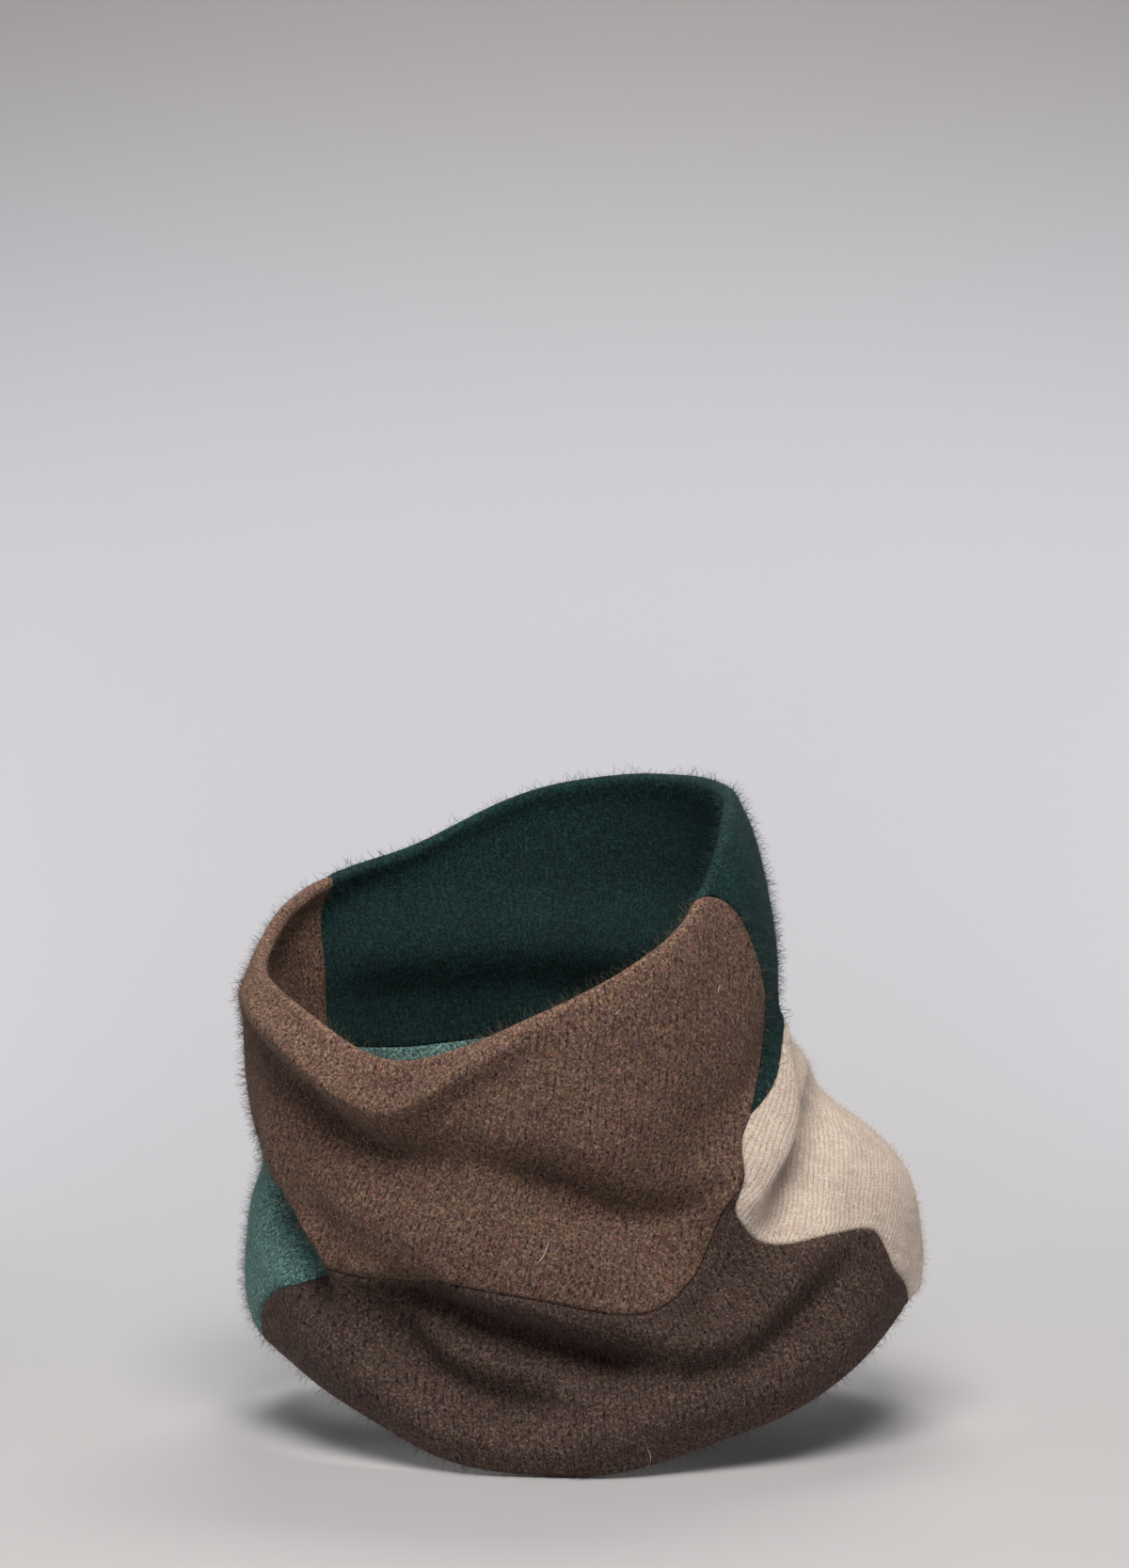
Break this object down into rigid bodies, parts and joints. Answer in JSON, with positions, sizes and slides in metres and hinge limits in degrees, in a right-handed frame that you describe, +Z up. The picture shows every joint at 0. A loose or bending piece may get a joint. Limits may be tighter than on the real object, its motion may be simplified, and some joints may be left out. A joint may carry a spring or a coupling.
{
  "type": "neck warmer",
  "caption": "Slouched tube of felted wool patches for the neck, with a rolled lip, a high back rim and a wide hem that spreads over one shoulder.",
  "frame": {"origin": "middle of the neck passage at the garment's waist, where the wearer's neck holds it", "axes": "+Z up along the neck, out of the rim; -Y out of the front of the garment; +X to the side where the hem spreads over the shoulder"},
  "size_m": [0.2103, 0.1898, 0.197],
  "materials": {
    "brown_wool": "felted fine knit, heathered brown, matt with a soft halo of fibres",
    "dark_brown_wool": "felted fine knit, heathered dark brown, matt with a soft halo of fibres",
    "teal_wool": "felted fine knit, greyed teal, matt with a soft halo of fibres",
    "cream_wool": "fine knit, warm cream, matt, with clear columns of stitches",
    "petrol_wool": "felted fine knit, dark petrol green, matt with a soft halo of fibres"
  },
  "bodies": {
    "root": {"front_panel": "brown_wool", "front_band": "dark_brown_wool", "left_panel": "teal_wool", "shoulder_panel": "cream_wool", "back_panel": "petrol_wool"}
  },
  "joints": []
}
